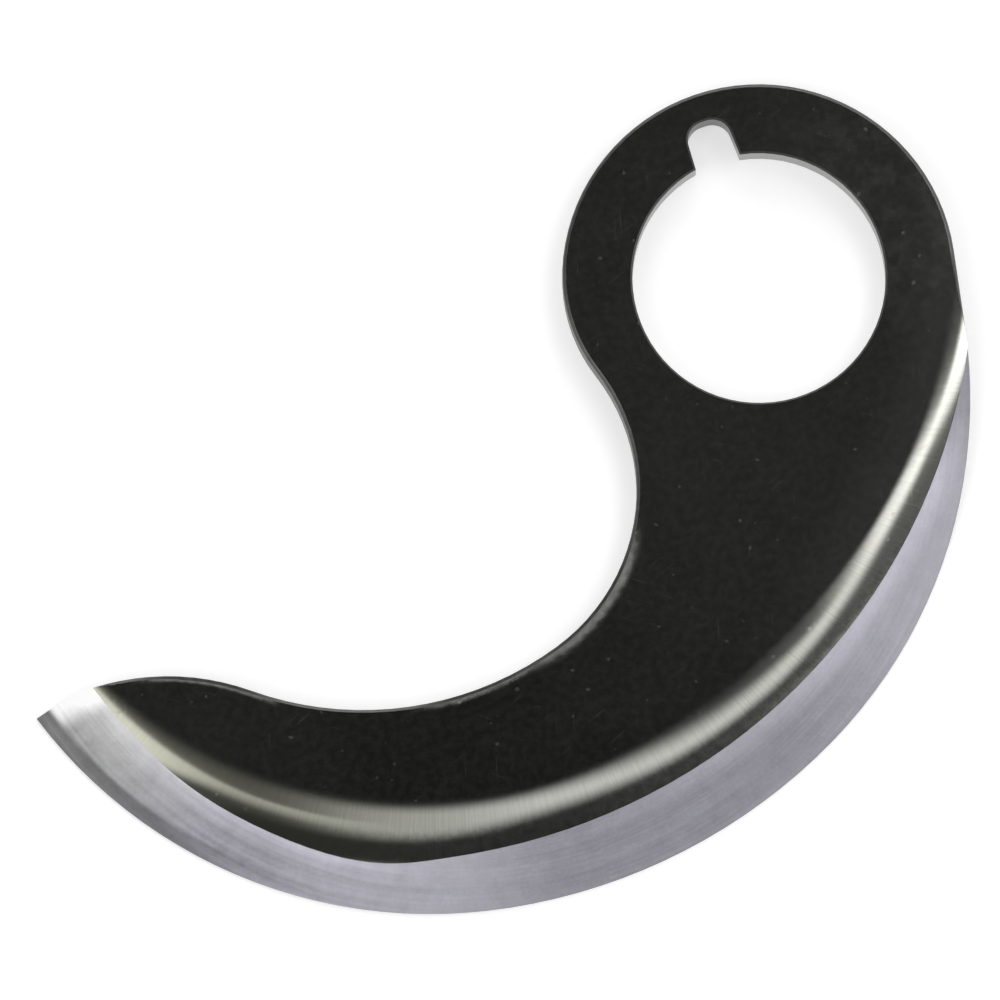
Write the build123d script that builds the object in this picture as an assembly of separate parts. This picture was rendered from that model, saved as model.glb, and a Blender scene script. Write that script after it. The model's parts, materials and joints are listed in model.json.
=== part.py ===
from build123d import *
import os
from math import atan2, cos, degrees, radians, sin, sqrt, tan

# Sickle knife of a bowl food cutter: a keyed ring hub and a hooked arm, ground on one side.
# Millimetres. The back lies on z = 0, the shaft runs along Z through the origin,
# the key slot points along +Y and the ground side faces +Z.

os.makedirs("parts", exist_ok=True)

# Plate and hub
plate_thickness = 5.6
hub_diameter = 59.3
bore_diameter = 38.1
bore_chamfer = 0.3

# Key slot, a little wider at the bore than at its closed end
key_slot_reach = 25.3
key_slot_mouth = 7.0
key_slot_end = 6.4
key_slot_corner = 2.9

# Cutting side of the outline, a tangent chain that leaves the hub at the heel
heel_angle = -11.1
heel_run = 11.9
heel_radius = 74.5
heel_sweep_angle = 52.2
belly_radius = 85.9
belly_sweep_angle = 39.2
toe_radius = 73.8

# Hollow side of the outline, a tangent chain that leaves the hub at the neck
neck_angle = 154.6
neck_radius = 24.2
neck_sweep_angle = 43.7
throat_radius = 29.7
throat_sweep_angle = 91.1
waist_radius = 49.0
waist_sweep_angle = 56.4
toe_back_radius = 36.7

# Edge breaks
front_round = 0.6
back_break = 0.25

# Grinding. The face rolls over from the shoulder line, and a bevel runs from the bevel line
# out to the edge. Each line is two arcs, anchored at depths measured square to the edge:
# the shoulder turns to its toe arc at the middle of the belly, the bevel where the toe's facet starts.
edge_land = 0.2
roll_radius = 14.0
bevel_angle_limit = 30.0
shoulder_radius = 91.7
shoulder_depth = 17.6
shoulder_toe_radius = 67.8
bevel_start = 15.0
bevel_radius = 90.8
facet_angle = 14.0
facet_depth = 7.0
facet_radius = 62.5
tip_depth = 9.4

# Reach of the grinding cut past the plate, and the number of sections it is made from
heel_lead = 8.0
tip_overrun_angle = 6.0
air = 2.0
face_overlap = 0.01
section_count = 18


def polar(angle, radius=1.0):
    """Vector of a length at an angle in degrees."""
    return Vector(radius * cos(radians(angle)), radius * sin(radians(angle)))


def bearing(point, centre):
    """Angle in degrees of a point seen from a centre."""
    return degrees(atan2(point.Y - centre.Y, point.X - centre.X))


def circles_meet(centre_a, radius_a, centre_b, radius_b):
    """Crossing point of two circles, the one on the left of the line from a to b."""
    span = centre_b - centre_a
    along = (radius_a ** 2 - radius_b ** 2 + span.length ** 2) / (2 * span.length)
    aside = sqrt(radius_a ** 2 - along ** 2)
    unit = span.normalized()
    return centre_a + unit * along + Vector(-unit.Y, unit.X) * aside


# Outline
hub_radius = hub_diameter / 2
heel_start = polar(heel_angle, hub_radius)
heel_heading = polar(heel_angle - 90)
heel_line = Line(heel_start, heel_start + heel_heading * heel_run)
heel_arc = JernArc(heel_line @ 1, heel_heading, heel_radius, -heel_sweep_angle)
belly_arc = JernArc(heel_arc @ 1, heel_arc % 1, belly_radius, -belly_sweep_angle)
toe_start = belly_arc @ 1
toe_centre = toe_start + (belly_arc.arc_center - toe_start).normalized() * toe_radius

neck_start = polar(neck_angle, hub_radius)
neck_arc = JernArc(neck_start, polar(neck_angle + 90), neck_radius, neck_sweep_angle)
throat_arc = JernArc(neck_arc @ 1, neck_arc % 1, throat_radius, -throat_sweep_angle)
waist_arc = JernArc(throat_arc @ 1, throat_arc % 1, waist_radius, -waist_sweep_angle)
back_start = waist_arc @ 1
back_centre = back_start + (back_start - waist_arc.arc_center).normalized() * toe_back_radius

tip = circles_meet(back_centre, toe_back_radius, toe_centre, toe_radius)
toe_sweep = (bearing(toe_start, toe_centre) - bearing(tip, toe_centre)) % 360
back_sweep = (bearing(tip, back_centre) - bearing(back_start, back_centre)) % 360
toe_arc = JernArc(toe_start, belly_arc % 1, toe_radius, -toe_sweep)
back_arc = JernArc(back_start, waist_arc % 1, toe_back_radius, back_sweep)
hub_arc = CenterArc((0, 0), hub_radius, heel_angle, neck_angle - heel_angle)

# Plate with its edges broken
hollow_side = [hub_arc, neck_arc, throat_arc, waist_arc, back_arc]
cutting_side = [toe_arc, belly_arc, heel_arc, heel_line]
outline = make_face(hollow_side + cutting_side)
blade = extrude(outline, plate_thickness)
blade = fillet(blade.faces().sort_by(Axis.Z)[-1].edges(), front_round)
blade = chamfer(blade.faces().sort_by(Axis.Z)[0].edges(), back_break)

# Bore and key slot
bore_radius = bore_diameter / 2
mouth_height = sqrt(bore_radius ** 2 - (key_slot_mouth / 2) ** 2)
flare = (key_slot_mouth - key_slot_end) / 2 / (key_slot_reach - mouth_height)
root_half = key_slot_end / 2 + flare * key_slot_reach
end_half = key_slot_end / 2
slot_corners = [(-root_half, 0), (root_half, 0), (end_half, key_slot_reach), (-end_half, key_slot_reach)]
slot = make_face(Polyline(slot_corners, close=True))
slot = fillet(slot.vertices().group_by(Axis.Y)[-1], key_slot_corner)
blade -= extrude(Circle(bore_radius) + slot, plate_thickness)
blade = chamfer(blade.faces().sort_by(Axis.Z)[0].inner_wires()[0].edges(), bore_chamfer)
blade = chamfer(blade.faces().sort_by(Axis.Z)[-1].inner_wires()[0].edges(), bore_chamfer)

# Ground lines, anchored on the edge's path
edge_height = back_break + edge_land
lead_line = Line(heel_start - heel_heading * heel_lead, heel_line @ 1)
long_toe_arc = JernArc(toe_start, belly_arc % 1, toe_radius, -toe_sweep - tip_overrun_angle)
edge_path = Wire([lead_line, heel_arc, belly_arc, long_toe_arc])
belly_place = lead_line.length + heel_arc.length + belly_arc.length / 2
facet_place = belly_place + belly_arc.length / 2 + radians(facet_angle) * toe_radius
tip_place = edge_path.length - radians(tip_overrun_angle) * toe_radius


def edge_frame(place):
    """Point, heading and inward direction of the edge at a length along its path."""
    point = edge_path.position_at(place, PositionMode.LENGTH)
    heading = edge_path.tangent_at(place, PositionMode.LENGTH)
    return point, heading, Vector(heading.Y, -heading.X)


def below_edge(place, depth):
    """Point at a depth inside the edge."""
    point, heading, inward = edge_frame(place)
    return point + inward * depth


def arc_pivot(start, end, radius):
    """Centre of the arc that runs clockwise from start to end."""
    return circles_meet(end, radius, start, radius)


def depth_to_circle(point, inward, centre, radius):
    """Distance from a point, along an inward direction, to the near side of a circle."""
    offset = point - centre
    along = inward.dot(offset)
    return -along - sqrt(along ** 2 - offset.length ** 2 + radius ** 2)


shoulder_middle = below_edge(belly_place, shoulder_depth)
shoulder_pivot = arc_pivot(heel_start, shoulder_middle, shoulder_radius)
shoulder_toe_pivot = shoulder_middle + (shoulder_pivot - shoulder_middle).normalized() * shoulder_toe_radius
facet_corner = below_edge(facet_place, facet_depth)
bevel_pivot = arc_pivot(below_edge(heel_lead + bevel_start, 0), facet_corner, bevel_radius)
facet_pivot = arc_pivot(facet_corner, below_edge(tip_place, tip_depth), facet_radius)


def ground_section(place):
    """Face that the grinding takes away at a length along the edge: over the bevel and the shoulder."""
    point, heading, inward = edge_frame(place)
    if place < belly_place:
        face = depth_to_circle(point, inward, shoulder_pivot, shoulder_radius)
    else:
        face = depth_to_circle(point, inward, shoulder_toe_pivot, shoulder_toe_radius)
    if place < facet_place:
        foot = depth_to_circle(point, inward, bevel_pivot, bevel_radius)
    else:
        foot = depth_to_circle(point, inward, facet_pivot, facet_radius)
    roll_centre = Vector(face, plate_thickness + face_overlap - roll_radius)
    foot_height = roll_centre.Y + sqrt(roll_radius ** 2 - (face - foot) ** 2)
    slope = tan(radians(bevel_angle_limit))
    if foot * slope > foot_height - edge_height:
        slope = (foot_height - edge_height) / foot
    outer = Vector(-heel_lead, foot_height - slope * (foot + heel_lead))
    inner = Vector(foot, foot_height)
    middle = roll_centre + polar((90 + bearing(inner, roll_centre)) / 2, roll_radius)
    crown = roll_centre + Vector(0, roll_radius)
    top = plate_thickness + air
    boundary = [Line(outer, inner), ThreePointArc(inner, middle, crown)]
    boundary.append(Polyline(crown, (face, top), (-heel_lead, top), outer))
    return Plane(point, x_dir=inward, z_dir=heading * -1) * make_face(boundary)


# Grinding cut, lofted through sections that stand square to the edge
step = edge_path.length / (section_count - 1)
blade -= loft([ground_section(index * step) for index in range(section_count)])

blade.label = "cutter_blade"
export_step(blade, "parts/cutter_blade.step")
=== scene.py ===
import bpy
import json
from math import cos, radians, sin
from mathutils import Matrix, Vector

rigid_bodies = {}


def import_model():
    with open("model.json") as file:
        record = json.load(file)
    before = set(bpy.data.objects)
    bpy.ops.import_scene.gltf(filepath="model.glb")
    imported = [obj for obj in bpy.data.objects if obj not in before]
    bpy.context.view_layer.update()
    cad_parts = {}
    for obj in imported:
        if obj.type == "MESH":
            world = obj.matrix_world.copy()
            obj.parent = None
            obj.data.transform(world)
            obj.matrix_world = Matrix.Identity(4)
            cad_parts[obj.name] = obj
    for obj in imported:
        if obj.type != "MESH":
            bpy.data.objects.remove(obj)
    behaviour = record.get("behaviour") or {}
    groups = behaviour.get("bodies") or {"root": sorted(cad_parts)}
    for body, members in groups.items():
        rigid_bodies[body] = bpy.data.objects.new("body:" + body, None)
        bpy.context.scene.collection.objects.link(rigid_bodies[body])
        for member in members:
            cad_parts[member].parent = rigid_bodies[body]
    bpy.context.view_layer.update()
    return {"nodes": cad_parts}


for leftover in list(bpy.data.objects):
    bpy.data.objects.remove(leftover)
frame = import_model()

# Camera, over the blade: turned about Z from the key slot's axis and tilted off the face's normal. It looks
# at a point of the face, measured from the shaft's axis to the picture's right and up. Lengths in metres.
VIEW_TURN = radians(-19.25)
VIEW_TILT = radians(9.1)
VIEW_WIDTH = 0.1503
VIEW_CENTRE_EAST = -0.03898
VIEW_CENTRE_NORTH = -0.03390
FACE_HEIGHT = 0.0056
LENS = 1000.0
CLIP_END = 100.0
EAST = Vector((cos(VIEW_TURN), sin(VIEW_TURN), 0))
NORTH = Vector((-sin(VIEW_TURN), cos(VIEW_TURN), 0))
UP = Vector((0, 0, 1))

# Studio lights about the dark opening that the flat face mirrors. Angles are in degrees: off is measured
# from the opening's axis, side round it from the picture's right. Each row of a strip holds a start side,
# an end side and the values at them, and the rows add up. Low lights have the angles where they start, are
# full, start to fade and end.
OPENING_LEVEL = 0.06
FRONT_INNER = ((-12, -25, 22, 10), (-27, -42, 0, 17), (-51, -68, 0, -10), (-75, -90, 0, 0.8))
FRONT_INNER_SOFT = ((-18, -30, 2.0, 4.5), (-38, -56, 0, 8.5), (-60, -85, 0, -5))
FRONT_OUTER = ((-10, -20, 38, 26), (-26, -47, 0, 18), (-56, -67, 0, -5), (-71, -93, 0, 15))
FRONT_OUTER_SOFT = ((-20, -30, 4.5, 6.5), (-40, -55, 0, 1.5), (-55, -70, 0, 2.5))
FRONT_LEVEL = ((-46, -16, 1.8, 4.2), (-71, -93, 0, -0.75), (-92, -110, 0, -0.88))
FRONT_END = (60, 15)
LEFT_INNER = (-109, -150, 37.2, 15.5)
LEFT_INNER_SOFT = 1.8
LEFT_OUTER = (-116, -131, 46, 60)
LEFT_OUTER_SOFT = 7.0
LEFT_LEVEL = ((-92, -108, 0, 0.85), (-112, -130, 0, 1.3))
LEFT_END = (-172, -152)
LOW_LEFT_OFF = (54, 62, 68, 78)
LOW_LEFT_SIDE = (-175, -160, -128, -112)
LOW_LEFT_LEVEL = 0.4
LOW_RIGHT_OFF = (54, 62)
LOW_RIGHT_SIDE = (-52, -22, 30, 60)
LOW_RIGHT_LEVEL = 0.85
BEHIND_OFF = (30, 38, 58, 64)
BEHIND_SIDE = (50, 70, 110, 130)
BEHIND_LEVEL = 2.6
WALL_OFF = (18, 34)
WALL_LEVEL = ((-75, -10, 0.02, 0.30), (-150, -175, 0, 0.26))
HORIZON = (0.20, 0.08)

# Floor: its size and its drop below the blade in metres, its colour and the light that lifts it to white.
FLOOR_REACH = 30.0
FLOOR_DROP = 0.00003
FLOOR_COLOUR = (0.60, 0.60, 0.60)
FLOOR_LIFT = 0.54

# Circles of the ground lines and of the outline, and where a ground line's second arc takes over, with the
# heading there. From here on lengths are millimetres on the plate, unless a comment says otherwise.
BEVEL_PIVOT, BEVEL_RADIUS = (-54.43, 21.45, 0), 90.8
FACET_PIVOT, FACET_RADIUS = (-54.77, -9.13, 0), 62.5
FACET_POINT, FACET_HEADING = (-86.97, -70.72, 0), (-0.895, 0.446, 0)
SHOULDER_PIVOT, SHOULDER_RADIUS = (-55.27, 30.24, 0), 91.7
SHOULDER_TOE_PIVOT, SHOULDER_TOE_RADIUS = (-52.06, 6.55, 0), 67.8
BELLY_POINT, BELLY_HEADING = (-40.81, -78.10, 0), (-0.992, -0.124, 0)
ROLL_RADIUS = 14.0
TOE_CENTRE, TOE_RADIUS = (-54.04, -4.67, 0), 73.8
EDGE_CENTRE, EDGE_RADIUS = (-51.0, 0.0, 0), 80.0
THROAT_CENTRE, THROAT_RADIUS = (-56.10, -14.59, 0), 29.7
WAIST_CENTRE, WAIST_RADIUS = (-61.80, 3.85, 0), 49.0
BACK_CENTRE, BACK_RADIUS = (-115.97, -62.56, 0), 36.7

# Points that marks of the finish lie about, and the places of painted light and shade at the heel, the cusp
# and the tip.
SHAFT_AXIS = (0, 0, 0)
HUB_POINT = (10, -10, 0)
HAZE_POINT = (23.0, 4.0, 0)
HEEL_POINT = (27.0, -22.0, 0)
CUSP = (-80.0, -68.0, 0)
TIP = (-124.43, -26.85, 0)
SWEEP_CENTRE = (-50.9, -8.5, 0)
THROAT_SCUFF = (-39.2, -39.9, 0)
WAIST_SCUFF = (-60.0, -45.2, 0)
BACK_SCUFF = (-98.5, -31.0, 0)

# Distances between which a mark fades: the first where it is gone, the second where it is full.
HUB_REACH = (95.0, 25.0)
TIP_REACH = (60.0, 25.0)
HUB_HAZE_REACH = (27.0, 8.0)
# Painted glow on the face inside the heel's shoulder:
HEEL_HAZE_DEPTH = (-8.0, 0.0)
HEEL_HAZE_REACH = (62.0, 22.0)
ROLL_TOE_REACH = (75.0, 35.0)
THROAT_SCUFF_WIDTH = (2.5, 0.2)
THROAT_SCUFF_REACH = (17.0, 5.0)
WAIST_SCUFF_WIDTH = (1.6, 0.2)
WAIST_SCUFF_REACH = (13.0, 3.0)
BACK_SCUFF_WIDTH = (1.3, 0.3)
BACK_SCUFF_REACH = (13.0, 4.0)
GROUND_TOE_REACH = (85.0, 45.0)
GROUND_TIP_REACH = (34.0, 10.0)
# Painted light at the cusp, along the crease, inside the toe and on the facet line, painted shade in a
# strip along the edge, and a painted glint at the tip fade between these:
CUSP_REACH = (26.0, 8.0)
CREASE_WIDTH = (3.6, 0.4)
DULL_WIDTH = (2.6, 1.7)
DULL_REACH = (52.0, 20.0)
INNER_DEPTH = (2.0, 7.5)
INNER_REACH = (50.0, 12.0)
FACET_WIDTH = (2.2, 0.2)
FACET_REACH = (76.0, 50.0)
GLINT_WIDTH = (4.6, 0.8)
GLINT_DEPTH = (1.9, 2.8)
GLINT_REACH = (14.0, 8.5)

# Distances where a band starts, is full, starts to fade and ends.
# The crease and heel bands place painted light on the bevel; the slot band places painted shade in the key
# slot.
CREASE_BAND = (5.0, 22.0, 50.0, 105.0)
HEEL_BAND = (4.0, 22.0, 34.0, 66.0)
SLOT_BAND = (19.6, 22.5, 26.0, 27.0)

# Noise, in turns per millimetre. Stretched noise has a scale for each of its two directions.
CLOUDS = dict(scale=0.12, detail=3.0)
MOTTLE = dict(scale=0.8, detail=4.0, roughness=0.65)
SPECKS = dict(scale=0.9, detail=0.0)
HAZE = dict(scale=0.30, detail=4.0, roughness=0.65)
BRUSHING = dict(first_scale=0.10, second_scale=2.6, detail=3.0, roughness=0.6)
GROUND_LINES = dict(first_scale=2.6, second_scale=0.05, detail=4.0, roughness=0.6)
GROUND_BANDS = dict(first_scale=0.45, second_scale=0.012, detail=2.0)
GROUND_STREAKS = dict(first_scale=0.42, second_scale=0.012, detail=3.0, roughness=0.55)
GROUND_FINE = dict(first_scale=1.8, second_scale=0.03, detail=3.0, roughness=0.6)
GROUND_MOTTLE = dict(scale=0.35, detail=3.0, roughness=0.6)
GROUND_GRAIN = dict(scale=1.8, detail=2.0, roughness=0.7)
CUT_CLOUDS = dict(scale=0.10, detail=3.0)
CUT_LINES = dict(scale=1.0, detail=3.0)
CUT_LINE_SCALES = (1.2, 3.0, 0.05)

# Scratches: the angle in degrees, the scale along and the scale across.
SCRATCHES = ((20.0, 0.14, 4.0), (74.0, 0.16, 4.5), (-38.0, 0.20, 5.5))

# Values between which noise, lean or slope fade, with the levels there where they aren't zero and one.
SPECK_LIMITS = (0.79, 0.84)
SCRATCH_LIMITS = (0.80, 0.86)
MOTTLE_LIMITS = (0.36, 0.66)
HAZE_LIMITS = (0.42, 0.64, 0.25, 1.0)
WEAR_LIMITS = (0.3, 0.62, 0.7, 1.0)
ROUND_LIMITS = (0.9995, 0.985)
ROLL_LIMITS = (0.02, 0.16)
WORN_LIMITS = (0.32, 0.46)
WORN_MIDDLE = 0.46
STEEPEST_LEAN = 0.9

# Base colours of the metal, some with painted light or shade in them.
FACE_STEEL = (0.20, 0.20, 0.192)
# Darker steel of the rounds and walls: painted shade.
RIM_STEEL = (0.11, 0.11, 0.106)
# Steel of the roll, lighter than the face and cream at the toe: its polish and a painted highlight.
ROLL_STEEL = (0.268, 0.270, 0.248)
ROLL_TOE_STEEL = (0.272, 0.274, 0.226)
# Lavender tint of the bevel's steel: a painted reflection of bluish light; by the tip it is neutral.
GROUND_STEEL = (0.458, 0.452, 0.504)
GROUND_TIP_STEEL = (0.52, 0.52, 0.525)
CUT_STEEL = (0.31, 0.31, 0.305)
WHITE = (1, 1, 1)

# Weights of what makes up a tone, a roughness or a relief.
MARKS = dict(base=0.0, specks=0.6, scratches=0.4)
FACE_TONE = dict(
    base=0.50, clouds=0.20, mottle=0.34, near_hub=0.46, near_tip=0.3, hub_haze=0.8, heel_haze=0.6, marks=1.0
)
FACE_ROUGHNESS = dict(base=0.12, clouds=0.03, marks=0.12, rounded=0.26, wear=0.62)
RIM_TONE = dict(base=0.7, mottle=0.6)
ROLL_TONE = dict(base=0.84, brushing=0.32, worn=1.5)
ROLL_ROUGHNESS = dict(base=0.10, clouds=0.03, marks=0.12)
POLISH_RELIEF = dict(base=0.0, mottle=0.1, marks=0.4, brushing=0.3)
BELLY_TONE = dict(
    base=0.18, grain=0.20, lines=0.34, bands=0.24, mottle=0.24, heel_light=0.33, crease_light=0.34
)
TOE_TONE = dict(
    base=-0.07, grain=0.20, mottle=0.46, streaks=0.74, fine=0.40, inner_light=0.27, near_tip=-0.06
)
CUSP_LIGHT = 0.22
DULLING = 0.50
GROUND_ROUGHNESS = dict(base=0.47, lines=0.10)
GROUND_RELIEF = dict(base=0.0, lines=0.8, bands=0.2)
CUT_TONE = dict(base=0.72, lines=0.30, clouds=0.26)
CUT_ROUGHNESS = dict(base=0.30, clouds=0.10)
SLOT_SHADE = 0.6

# Depth of the relief, in metres.
POLISH_DEPTH = 0.000002
GROUND_DEPTH = 0.000006
CUT_DEPTH = 0.000008

# Which finish a face of the mesh wears: its slope tells walls and back, its place in metres the rest.
FACE, SHOULDER, GROUND, CUT = range(4)
WALL_SLOPE = 0.25
BACK_SLOPE = -0.5
HUB_WALL_REACH = 0.0262
LAND_TOP = 0.0006
HEEL_LIMIT = -0.008
ROLL_MATCH = 0.97
MILLIMETRES_PER_METRE = 1000.0

# Sockets of Blender's Mix node, by number because their names repeat.
COLOUR_A, COLOUR_B, COLOUR_RESULT = 6, 7, 2
VECTOR_A, VECTOR_B, VECTOR_RESULT = 4, 5, 1


def opaque(colour):
    """Colour for a socket: another socket as it is, or three levels with full alpha."""
    if isinstance(colour, bpy.types.NodeSocket):
        return colour
    return (*colour, 1)


class Graph:
    """A node tree, with short calls that add a node and give its output."""

    def __init__(self, tree):
        self.tree = tree
        tree.nodes.clear()

    def add(self, kind, inputs=None, output=0, **settings):
        """New node. Inputs that are sockets are linked, other inputs are set."""
        node = self.tree.nodes.new("ShaderNode" + kind)
        for name, value in settings.items():
            setattr(node, name, value)
        for key, value in (inputs or {}).items():
            if isinstance(value, bpy.types.NodeSocket):
                self.tree.links.new(value, node.inputs[key])
            else:
                node.inputs[key].default_value = value
        return node.outputs[output] if node.outputs else node

    def math(self, operation, first, second=0.0):
        return self.add("Math", {0: first, 1: second}, operation=operation)

    def less(self, first, second):
        return self.math("SUBTRACT", first, second)

    def inverse(self, value):
        return self.less(1.0, value)

    def total(self, *values):
        result = values[0]
        for value in values[1:]:
            result = self.math("ADD", result, value)
        return result

    def product(self, *values):
        result = values[0]
        for value in values[1:]:
            result = self.math("MULTIPLY", result, value)
        return result

    def weighted(self, weights, **values):
        """Base weight, plus each value times the weight of its name."""
        terms = [self.product(value, weights[name]) for name, value in values.items()]
        return self.total(weights["base"], *terms)

    def fade(self, value, start, end, low=0.0, high=1.0):
        """Soft step from low at the start to high at the end."""
        limits = {"Value": value, "From Min": start, "From Max": end, "To Min": low, "To Max": high}
        return self.add("MapRange", limits, interpolation_type="SMOOTHSTEP")

    def steps(self, value, rows):
        """Sum of the fades that the rows describe."""
        return self.total(*[self.fade(value, *row) for row in rows])

    def band(self, value, start, full, fading, end):
        """Soft band: nothing outside start and end, one between full and fading."""
        return self.product(self.fade(value, start, full), self.fade(value, end, fading))

    def vector_math(self, operation, first, second):
        return self.add("VectorMath", {0: first, 1: second}, operation=operation)

    def stretch(self, vector, scale):
        return self.add("VectorMath", {0: vector, "Scale": scale}, operation="SCALE")

    def vector(self, x, y, z=0.0):
        return self.add("CombineXYZ", {0: x, 1: y, 2: z})

    def dot(self, first, second):
        return self.add("VectorMath", {0: first, 1: second}, "Value", operation="DOT_PRODUCT")

    def distance(self, first, second):
        return self.add("VectorMath", {0: first, 1: second}, "Value", operation="DISTANCE")

    def outside(self, point, centre, radius):
        """How far a point lies outside a circle."""
        return self.less(self.distance(point, centre), radius)

    def inside(self, point, centre, radius):
        """How far a point lies inside a circle."""
        return self.less(radius, self.distance(point, centre))

    def near(self, point, middle, reach):
        """Fade about a middle point, between the two distances of its reach."""
        return self.fade(self.distance(point, middle), *reach)

    def mix(self, factor, first, second):
        inputs = {0: factor, COLOUR_A: opaque(first), COLOUR_B: opaque(second)}
        return self.add("Mix", inputs, COLOUR_RESULT, data_type="RGBA")

    def scaled(self, colour, factor):
        """Colour times a factor."""
        inputs = {0: 1.0, COLOUR_A: opaque(colour), COLOUR_B: self.vector(factor, factor, factor)}
        return self.add("Mix", inputs, COLOUR_RESULT, data_type="RGBA", blend_type="MULTIPLY")

    def noise(self, vector, scale, detail=2.0, roughness=0.5):
        inputs = {"Vector": vector, "Scale": scale, "Detail": detail, "Roughness": roughness}
        return self.add("TexNoise", inputs)

    def stretched_noise(self, first, second, first_scale, second_scale, detail=2.0, roughness=0.5):
        """Noise over two measures, each with its own scale."""
        vector = self.vector(self.product(first, first_scale), self.product(second, second_scale))
        return self.noise(vector, 1.0, detail, roughness)


def strip(graph, off, inner, inner_soft, outer, outer_soft):
    """Light between two angles off the opening, whose edges are soft by so much to both sides."""
    rise = graph.fade(off, graph.less(inner, inner_soft), graph.total(inner, inner_soft))
    fall = graph.fade(off, graph.total(outer, outer_soft), graph.less(outer, outer_soft))
    return graph.product(rise, fall)


def front_strip(graph, off, side):
    """Soft strip light that runs from the right round to the front."""
    inner = graph.steps(side, FRONT_INNER)
    inner_soft = graph.steps(side, FRONT_INNER_SOFT)
    outer = graph.steps(side, FRONT_OUTER)
    outer_soft = graph.steps(side, FRONT_OUTER_SOFT)
    shape = strip(graph, off, inner, inner_soft, outer, outer_soft)
    return graph.product(shape, graph.steps(side, FRONT_LEVEL), graph.fade(side, *FRONT_END))


def left_strip(graph, off, side):
    """Soft strip light on the left."""
    inner = graph.fade(side, *LEFT_INNER)
    outer = graph.fade(side, *LEFT_OUTER)
    shape = strip(graph, off, inner, LEFT_INNER_SOFT, outer, LEFT_OUTER_SOFT)
    return graph.product(shape, graph.steps(side, LEFT_LEVEL), graph.fade(side, *LEFT_END))


def low_lights(graph, off, side):
    """Lights low on the left, low on the right and behind."""
    left = graph.product(graph.band(off, *LOW_LEFT_OFF), graph.band(side, *LOW_LEFT_SIDE), LOW_LEFT_LEVEL)
    right_rise = graph.fade(off, *LOW_RIGHT_OFF)
    right = graph.product(right_rise, graph.band(side, *LOW_RIGHT_SIDE), LOW_RIGHT_LEVEL)
    behind = graph.product(graph.band(off, *BEHIND_OFF), graph.band(side, *BEHIND_SIDE), BEHIND_LEVEL)
    return graph.total(left, right, behind)


def light_studio():
    """World: a dark opening, the lights about it, and white along the horizon."""
    world = bpy.data.worlds.new("studio")
    bpy.context.scene.world = world
    world.use_nodes = True
    graph = Graph(world.node_tree)
    ray = graph.add("TexCoord", output="Generated")
    opening = NORTH * sin(VIEW_TILT) + UP * cos(VIEW_TILT)
    opening_north = NORTH * cos(VIEW_TILT) - UP * sin(VIEW_TILT)
    off = graph.math("DEGREES", graph.math("ARCCOSINE", graph.dot(ray, opening)))
    turn = graph.math("ARCTAN2", graph.dot(ray, opening_north), graph.dot(ray, EAST))
    side = graph.math("DEGREES", turn)
    wall = graph.product(graph.fade(off, *WALL_OFF), graph.steps(side, WALL_LEVEL))
    strips = graph.total(front_strip(graph, off, side), left_strip(graph, off, side))
    lights = graph.total(OPENING_LEVEL, wall, strips, low_lights(graph, off, side))
    horizon = graph.fade(graph.dot(ray, UP), *HORIZON)
    level = graph.total(graph.product(lights, graph.inverse(horizon)), horizon)
    background = graph.add("Background", {"Strength": level, "Color": opaque(WHITE)})
    graph.add("OutputWorld", {"Surface": background})


def pale_floor():
    """Matt floor, lifted to white where the camera or a reflection sees it; the shadow stays on it."""
    material = bpy.data.materials.new("floor_white")
    material.use_nodes = True
    graph = Graph(material.node_tree)
    path = graph.add("LightPath").node.outputs
    mirrored = graph.math("MAXIMUM", path["Is Glossy Ray"], path["Is Transmission Ray"])
    seen = graph.math("MAXIMUM", path["Is Camera Ray"], mirrored)
    matt = graph.add("BsdfDiffuse", {"Color": opaque(FLOOR_COLOUR)})
    lift = graph.add("Emission", {"Color": opaque(WHITE), "Strength": graph.product(seen, FLOOR_LIFT)})
    graph.add("OutputMaterial", {"Surface": graph.add("AddShader", {0: matt, 1: lift})})
    return material


def plate_place(graph):
    """Place on the blade in millimetres."""
    return graph.stretch(graph.add("TexCoord", output="Object"), MILLIMETRES_PER_METRE)


def flattened(graph, place):
    """A place with its height left out."""
    return graph.vector_math("MULTIPLY", place, (1, 1, 0))


def edge_polar(graph, flat):
    """Distance from the edge's middle and length along the edge, in millimetres."""
    offset = graph.vector_math("SUBTRACT", flat, EDGE_CENTRE)
    parts = graph.add("SeparateXYZ", {0: offset}).node.outputs
    turn = graph.math("ARCTAN2", parts[0], parts[1])
    return graph.distance(flat, EDGE_CENTRE), graph.product(turn, EDGE_RADIUS)


def steel(name):
    """New metal material, with its graph and its shader."""
    material = bpy.data.materials.new(name)
    material.use_nodes = True
    graph = Graph(material.node_tree)
    shader = graph.add("BsdfPrincipled", {"Metallic": 1.0}).node
    graph.add("OutputMaterial", {"Surface": shader.outputs[0]})
    return material, graph, shader


def connect(graph, shader, colour, roughness, relief, depth, normal=None):
    """Link a colour, a roughness and a relief to the shader, the relief on a normal if one is given."""
    graph.tree.links.new(colour, shader.inputs["Base Color"])
    graph.tree.links.new(roughness, shader.inputs["Roughness"])
    inputs = {"Height": relief, "Distance": depth, "Strength": 1.0}
    if normal is not None:
        inputs["Normal"] = normal
    graph.tree.links.new(graph.add("Bump", inputs), shader.inputs["Normal"])


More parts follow.
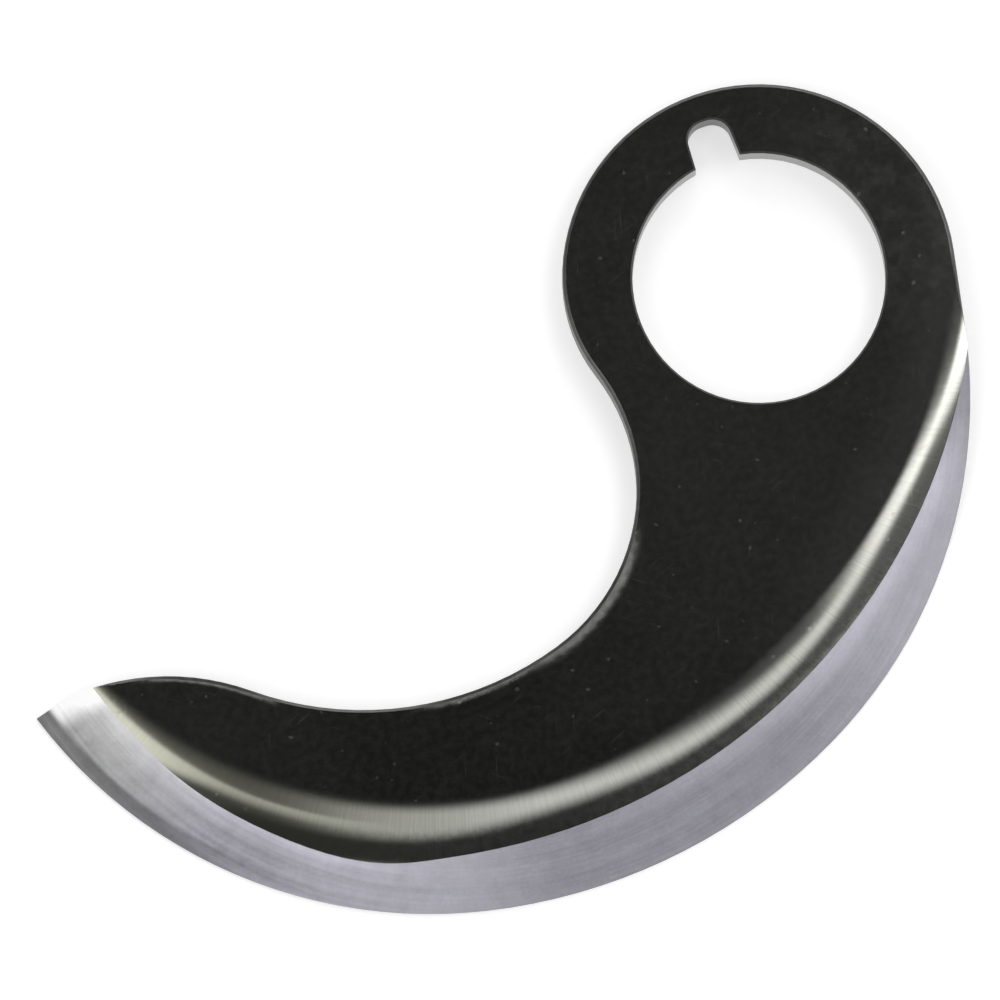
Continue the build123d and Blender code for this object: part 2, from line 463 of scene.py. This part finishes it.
def shoulder_normal(graph, flat):
    """Normal of the rolled shoulder, from its round section, and how far it has rolled over."""
    past_belly = graph.dot(graph.vector_math("SUBTRACT", flat, BELLY_POINT), BELLY_HEADING)
    at_toe = graph.math("GREATER_THAN", past_belly, 0.0)
    pivots = {0: at_toe, VECTOR_A: SHOULDER_PIVOT, VECTOR_B: SHOULDER_TOE_PIVOT}
    pivot = graph.add("Mix", pivots, VECTOR_RESULT, data_type="VECTOR")
    radius = graph.total(SHOULDER_RADIUS, graph.product(at_toe, SHOULDER_TOE_RADIUS - SHOULDER_RADIUS))
    offset = graph.vector_math("SUBTRACT", flat, pivot)
    outward = graph.add("VectorMath", {0: offset}, operation="NORMALIZE")
    lean = graph.math("DIVIDE", graph.outside(flat, pivot, radius), ROLL_RADIUS)
    lean = graph.math("MINIMUM", graph.math("MAXIMUM", lean, 0.0), STEEPEST_LEAN)
    rise = graph.math("SQRT", graph.inverse(graph.product(lean, lean)))
    normal = graph.vector_math("ADD", graph.stretch(outward, lean), graph.vector(0.0, 0.0, rise))
    return normal, lean


def scratch(graph, flat, angle, along_scale, across_scale):
    """Short fine scratches that run at an angle in degrees."""
    run = (cos(radians(angle)), sin(radians(angle)), 0)
    turned = (-run[1], run[0], 0)
    along = graph.dot(flat, run)
    across = graph.dot(flat, turned)
    return graph.fade(graph.stretched_noise(along, across, along_scale, across_scale, 0.0), *SCRATCH_LIMITS)


def rim_wear(graph, flat):
    """Scuffed strips along the hollow's rim, each on one arc and strongest about one place."""
    throat = graph.fade(graph.outside(flat, THROAT_CENTRE, THROAT_RADIUS), *THROAT_SCUFF_WIDTH)
    waist = graph.fade(graph.outside(flat, WAIST_CENTRE, WAIST_RADIUS), *WAIST_SCUFF_WIDTH)
    back = graph.fade(graph.inside(flat, BACK_CENTRE, BACK_RADIUS), *BACK_SCUFF_WIDTH)
    return graph.total(
        graph.product(throat, graph.near(flat, THROAT_SCUFF, THROAT_SCUFF_REACH)),
        graph.product(waist, graph.near(flat, WAIST_SCUFF, WAIST_SCUFF_REACH)),
        graph.product(back, graph.near(flat, BACK_SCUFF, BACK_SCUFF_REACH)),
    )


def polish_textures(graph, flat):
    """Clouds, mottle, brushing that crosses the roll, and marks, which are specks and short scratches."""
    clouds = graph.noise(flat, **CLOUDS)
    mottle = graph.noise(flat, **MOTTLE)
    across, along = edge_polar(graph, flat)
    brushing = graph.stretched_noise(across, along, **BRUSHING)
    specks = graph.fade(graph.noise(flat, **SPECKS), *SPECK_LIMITS)
    scratches = graph.total(*[scratch(graph, flat, *kind) for kind in SCRATCHES])
    marks = graph.weighted(MARKS, specks=specks, scratches=scratches)
    return clouds, mottle, brushing, marks


def polish_colour(graph, flat, clouds, mottle, marks):
    """Dark polish, lighter about the hub, at the tip, in the haze and on marks, with a painted glow inside
    the shoulder near the heel.
    """
    haze = graph.fade(graph.noise(flat, **HAZE), *HAZE_LIMITS)
    # Painted sheen: the face grows lighter towards the shoulder near the heel.
    inside_shoulder = graph.fade(graph.outside(flat, SHOULDER_PIVOT, SHOULDER_RADIUS), *HEEL_HAZE_DEPTH)
    tone = graph.weighted(
        FACE_TONE,
        clouds=clouds,
        mottle=graph.fade(mottle, *MOTTLE_LIMITS),
        near_hub=graph.near(flat, HUB_POINT, HUB_REACH),
        near_tip=graph.near(flat, TIP, TIP_REACH),
        hub_haze=graph.product(graph.near(flat, HAZE_POINT, HUB_HAZE_REACH), haze),
        heel_haze=graph.product(inside_shoulder, graph.near(flat, HEEL_POINT, HEEL_HAZE_REACH)),
        marks=marks,
    )
    return graph.scaled(FACE_STEEL, tone)


def polish_relief(graph, mottle, marks, brushing, tilted):
    """Faint relief of the polish, with the brushing where the metal is tilted."""
    tilted_brushing = graph.product(brushing, tilted)
    return graph.weighted(POLISH_RELIEF, mottle=mottle, marks=marks, brushing=tilted_brushing)


def polished_face():
    """Polish of the flat face, the front rounds and the side walls, scuffed along the hollow's rim; the
    rounds and walls wear darker steel, painted shade.
    """
    material, graph, shader = steel("blade_face")
    flat = flattened(graph, plate_place(graph))
    clouds, mottle, brushing, marks = polish_textures(graph, flat)
    normal = graph.add("NewGeometry", output="Normal")
    rounded = graph.fade(graph.dot(normal, UP), *ROUND_LIMITS)
    # Painted shade: the rounds and walls are darker than the face.
    rim_colour = graph.scaled(RIM_STEEL, graph.weighted(RIM_TONE, mottle=mottle))
    colour = graph.mix(rounded, polish_colour(graph, flat, clouds, mottle, marks), rim_colour)
    wear = graph.product(rim_wear(graph, flat), graph.fade(mottle, *WEAR_LIMITS))
    roughness = graph.weighted(FACE_ROUGHNESS, clouds=clouds, marks=marks, rounded=rounded, wear=wear)
    relief = polish_relief(graph, mottle, marks, brushing, rounded)
    connect(graph, shader, colour, roughness, relief, POLISH_DEPTH, normal)
    return material


def polished_shoulder():
    """Polish of the rolled shoulder, brushed across and patchy towards the crease, in lighter, cream-tinted
    steel that is partly a painted highlight.
    """
    material, graph, shader = steel("blade_shoulder")
    flat = flattened(graph, plate_place(graph))
    clouds, mottle, brushing, marks = polish_textures(graph, flat)
    normal, lean = shoulder_normal(graph, flat)
    rolled = graph.fade(lean, *ROLL_LIMITS)
    at_toe = graph.near(flat, TIP, ROLL_TOE_REACH)
    patches = graph.less(mottle, WORN_MIDDLE)
    worn = graph.product(graph.fade(lean, *WORN_LIMITS), patches, graph.inverse(at_toe))
    tone = graph.weighted(ROLL_TONE, brushing=brushing, worn=worn)
    # Lighter, cream-tinted roll colour: partly a painted highlight.
    roll_colour = graph.scaled(graph.mix(at_toe, ROLL_STEEL, ROLL_TOE_STEEL), tone)
    colour = graph.mix(rolled, polish_colour(graph, flat, clouds, mottle, marks), roll_colour)
    roughness = graph.weighted(ROLL_ROUGHNESS, clouds=clouds, marks=marks)
    relief = polish_relief(graph, mottle, marks, brushing, rolled)
    connect(graph, shader, colour, roughness, relief, POLISH_DEPTH, normal)
    return material


def ground_tone(graph, flat, lines, bands, along, near_tip):
    """Tone of the bevel: lines and bands on the belly, sweeping streaks at the toe, painted light at the
    heel, the crease, the cusp and inside the toe, painted shade along the edge by the tip, and a painted
    glint at the tip.
    """
    sweep = graph.distance(flat, SWEEP_CENTRE)
    to_tip = graph.distance(flat, TIP)
    to_heel = graph.distance(flat, HEEL_POINT)
    in_from_edge = graph.inside(flat, TOE_CENTRE, TOE_RADIUS)
    in_from_back = graph.inside(flat, BACK_CENTRE, BACK_RADIUS)
    mottle = graph.noise(flat, **GROUND_MOTTLE)
    grain = graph.noise(flat, **GROUND_GRAIN)
    streaks = graph.stretched_noise(sweep, along, **GROUND_STREAKS)
    fine = graph.stretched_noise(sweep, along, **GROUND_FINE)

    along_crease = graph.fade(graph.outside(flat, BEVEL_PIVOT, BEVEL_RADIUS), *CREASE_WIDTH)
    # Painted light: the bevel is lighter towards the heel and along the crease.
    belly_tone = graph.weighted(
        BELLY_TONE,
        grain=grain,
        lines=lines,
        bands=bands,
        mottle=mottle,
        heel_light=graph.band(to_heel, *HEEL_BAND),
        crease_light=graph.product(along_crease, graph.band(to_heel, *CREASE_BAND)),
    )

    # Painted light inside the toe and along the facet line.
    along_facet = graph.fade(graph.outside(flat, FACET_PIVOT, FACET_RADIUS), *FACET_WIDTH)
    inner_light = graph.total(
        graph.product(graph.fade(in_from_edge, *INNER_DEPTH), graph.fade(to_tip, *INNER_REACH)),
        graph.product(along_facet, graph.fade(to_tip, *FACET_REACH)),
    )
    toe_tone = graph.weighted(
        TOE_TONE,
        grain=grain,
        mottle=mottle,
        streaks=streaks,
        fine=fine,
        inner_light=inner_light,
        near_tip=near_tip,
    )

    toe = graph.fade(to_tip, *GROUND_TOE_REACH)
    # Painted light: a lighter patch about the cusp.
    cusp_light = graph.product(graph.near(flat, CUSP, CUSP_REACH), CUSP_LIGHT)
    tone = graph.total(
        graph.product(belly_tone, graph.inverse(toe)), graph.product(toe_tone, toe), cusp_light
    )
    # Painted shade: a darker strip along the edge towards the tip.
    dull_strip = graph.product(graph.fade(in_from_edge, *DULL_WIDTH), graph.fade(to_tip, *DULL_REACH))
    # Painted highlight: a white glint on the bevel by the tip, along the back edge.
    glint = graph.product(
        graph.fade(in_from_back, *GLINT_WIDTH),
        graph.fade(in_from_edge, *GLINT_DEPTH),
        graph.fade(to_tip, *GLINT_REACH),
    )
    return graph.total(graph.product(tone, graph.inverse(graph.product(dull_strip, DULLING))), glint)


def ground_steel():
    """Bevel from the grinding wheel, with fine lines along the edge and a strip of painted shade along the
    edge towards the tip.
    """
    material, graph, shader = steel("blade_ground")
    flat = flattened(graph, plate_place(graph))
    across, along = edge_polar(graph, flat)
    lines = graph.stretched_noise(across, along, **GROUND_LINES)
    bands = graph.stretched_noise(across, along, **GROUND_BANDS)
    near_tip = graph.near(flat, TIP, GROUND_TIP_REACH)
    tone = ground_tone(graph, flat, lines, bands, along, near_tip)
    colour = graph.scaled(graph.mix(near_tip, GROUND_STEEL, GROUND_TIP_STEEL), tone)
    roughness = graph.weighted(GROUND_ROUGHNESS, lines=lines)
    relief = graph.weighted(GROUND_RELIEF, lines=lines, bands=bands)
    connect(graph, shader, colour, roughness, relief, GROUND_DEPTH)
    return material


def machined_steel():
    """Lighter cut metal of the bore, the key slot and the back, with lines round the shaft and painted
    shade in the key slot.
    """
    material, graph, shader = steel("blade_cut")
    place = plate_place(graph)
    parts = graph.add("SeparateXYZ", {0: place}).node.outputs
    from_shaft = graph.distance(flattened(graph, place), SHAFT_AXIS)
    measures = zip((from_shaft, parts[2], parts[0]), CUT_LINE_SCALES)
    line_place = graph.vector(*[graph.product(measure, scale) for measure, scale in measures])
    lines = graph.noise(line_place, **CUT_LINES)
    clouds = graph.noise(place, **CUT_CLOUDS)
    # Painted shade in the key slot.
    slot_shade = graph.product(graph.band(from_shaft, *SLOT_BAND), SLOT_SHADE)
    tone = graph.product(graph.weighted(CUT_TONE, lines=lines, clouds=clouds), graph.inverse(slot_shade))
    roughness = graph.weighted(CUT_ROUGHNESS, clouds=clouds)
    connect(graph, shader, graph.scaled(CUT_STEEL, tone), roughness, lines, CUT_DEPTH)
    return material


def on_plate(point):
    """A point in metres as millimetres on the plate."""
    return Vector((point.x, point.y, 0)) * MILLIMETRES_PER_METRE


def on_bevel(point):
    """Whether a point of the front, in metres, lies outside the bevel's inner line."""
    flat = on_plate(point)
    if (flat - Vector(FACET_POINT)).dot(Vector(FACET_HEADING)) < 0:
        return (flat - Vector(BEVEL_PIVOT)).length > BEVEL_RADIUS
    return (flat - Vector(FACET_PIVOT)).length > FACET_RADIUS


def on_shoulder(point, normal):
    """Whether a point of the front, in metres, lies beyond the shoulder line and leans as the roll does."""
    flat = on_plate(point)
    pivot, radius = SHOULDER_PIVOT, SHOULDER_RADIUS
    if (flat - Vector(BELLY_POINT)).dot(Vector(BELLY_HEADING)) > 0:
        pivot, radius = SHOULDER_TOE_PIVOT, SHOULDER_TOE_RADIUS
    outward = flat - Vector(pivot)
    run = outward.length - radius
    expected = outward.normalized() * run / ROLL_RADIUS + UP
    return run > 0 and expected.normalized().dot(normal) > ROLL_MATCH


def finish_of(polygon, vertices):
    """Finish that a face of the mesh wears."""
    wall = polygon.normal.z < WALL_SLOPE
    top = max(vertices[corner].co.z for corner in polygon.vertices)
    if polygon.normal.z < BACK_SLOPE:
        return CUT
    if wall and polygon.center.xy.length < HUB_WALL_REACH:
        return CUT
    if wall and top > LAND_TOP:
        return FACE
    if on_bevel(polygon.center) and polygon.center.y < HEEL_LIMIT:
        return GROUND
    if on_shoulder(polygon.center, polygon.normal):
        return SHOULDER
    return FACE


light_studio()

# Finishes of the blade: polish on the face, the front rounds and the side walls, brushed polish on the
# shoulder, grinding on the bevel, and cut metal in the bore, in the key slot and on the back.
blade = frame["nodes"]["cutter_blade"]
blade.data.materials.clear()
for finish in (polished_face(), polished_shoulder(), ground_steel(), machined_steel()):
    blade.data.materials.append(finish)
for polygon in blade.data.polygons:
    polygon.material_index = finish_of(polygon, blade.data.vertices)

# Floor
floor_mesh = bpy.data.meshes.new("floor")
floor_corners = [
    (-FLOOR_REACH, -FLOOR_REACH, 0),
    (FLOOR_REACH, -FLOOR_REACH, 0),
    (FLOOR_REACH, FLOOR_REACH, 0),
    (-FLOOR_REACH, FLOOR_REACH, 0),
]
floor_mesh.from_pydata(floor_corners, [], [(0, 1, 2, 3)])
floor_mesh.materials.append(pale_floor())
floor = bpy.data.objects.new("floor", floor_mesh)
floor.location.z = -FLOOR_DROP
bpy.context.scene.collection.objects.link(floor)

# Camera
camera_data = bpy.data.cameras.new("camera")
camera_data.lens = LENS
camera_data.clip_end = CLIP_END
camera = bpy.data.objects.new("camera", camera_data)
bpy.context.scene.collection.objects.link(camera)
aim = EAST * VIEW_CENTRE_EAST + NORTH * VIEW_CENTRE_NORTH + UP * FACE_HEIGHT
back = NORTH * -sin(VIEW_TILT) + UP * cos(VIEW_TILT)
camera.location = aim + back * (VIEW_WIDTH * LENS / camera_data.sensor_width)
camera.rotation_mode = "QUATERNION"
camera.rotation_quaternion = (-back).to_track_quat("-Z", "Y")
bpy.context.scene.camera = camera

bpy.context.scene.view_settings.view_transform = "Standard"
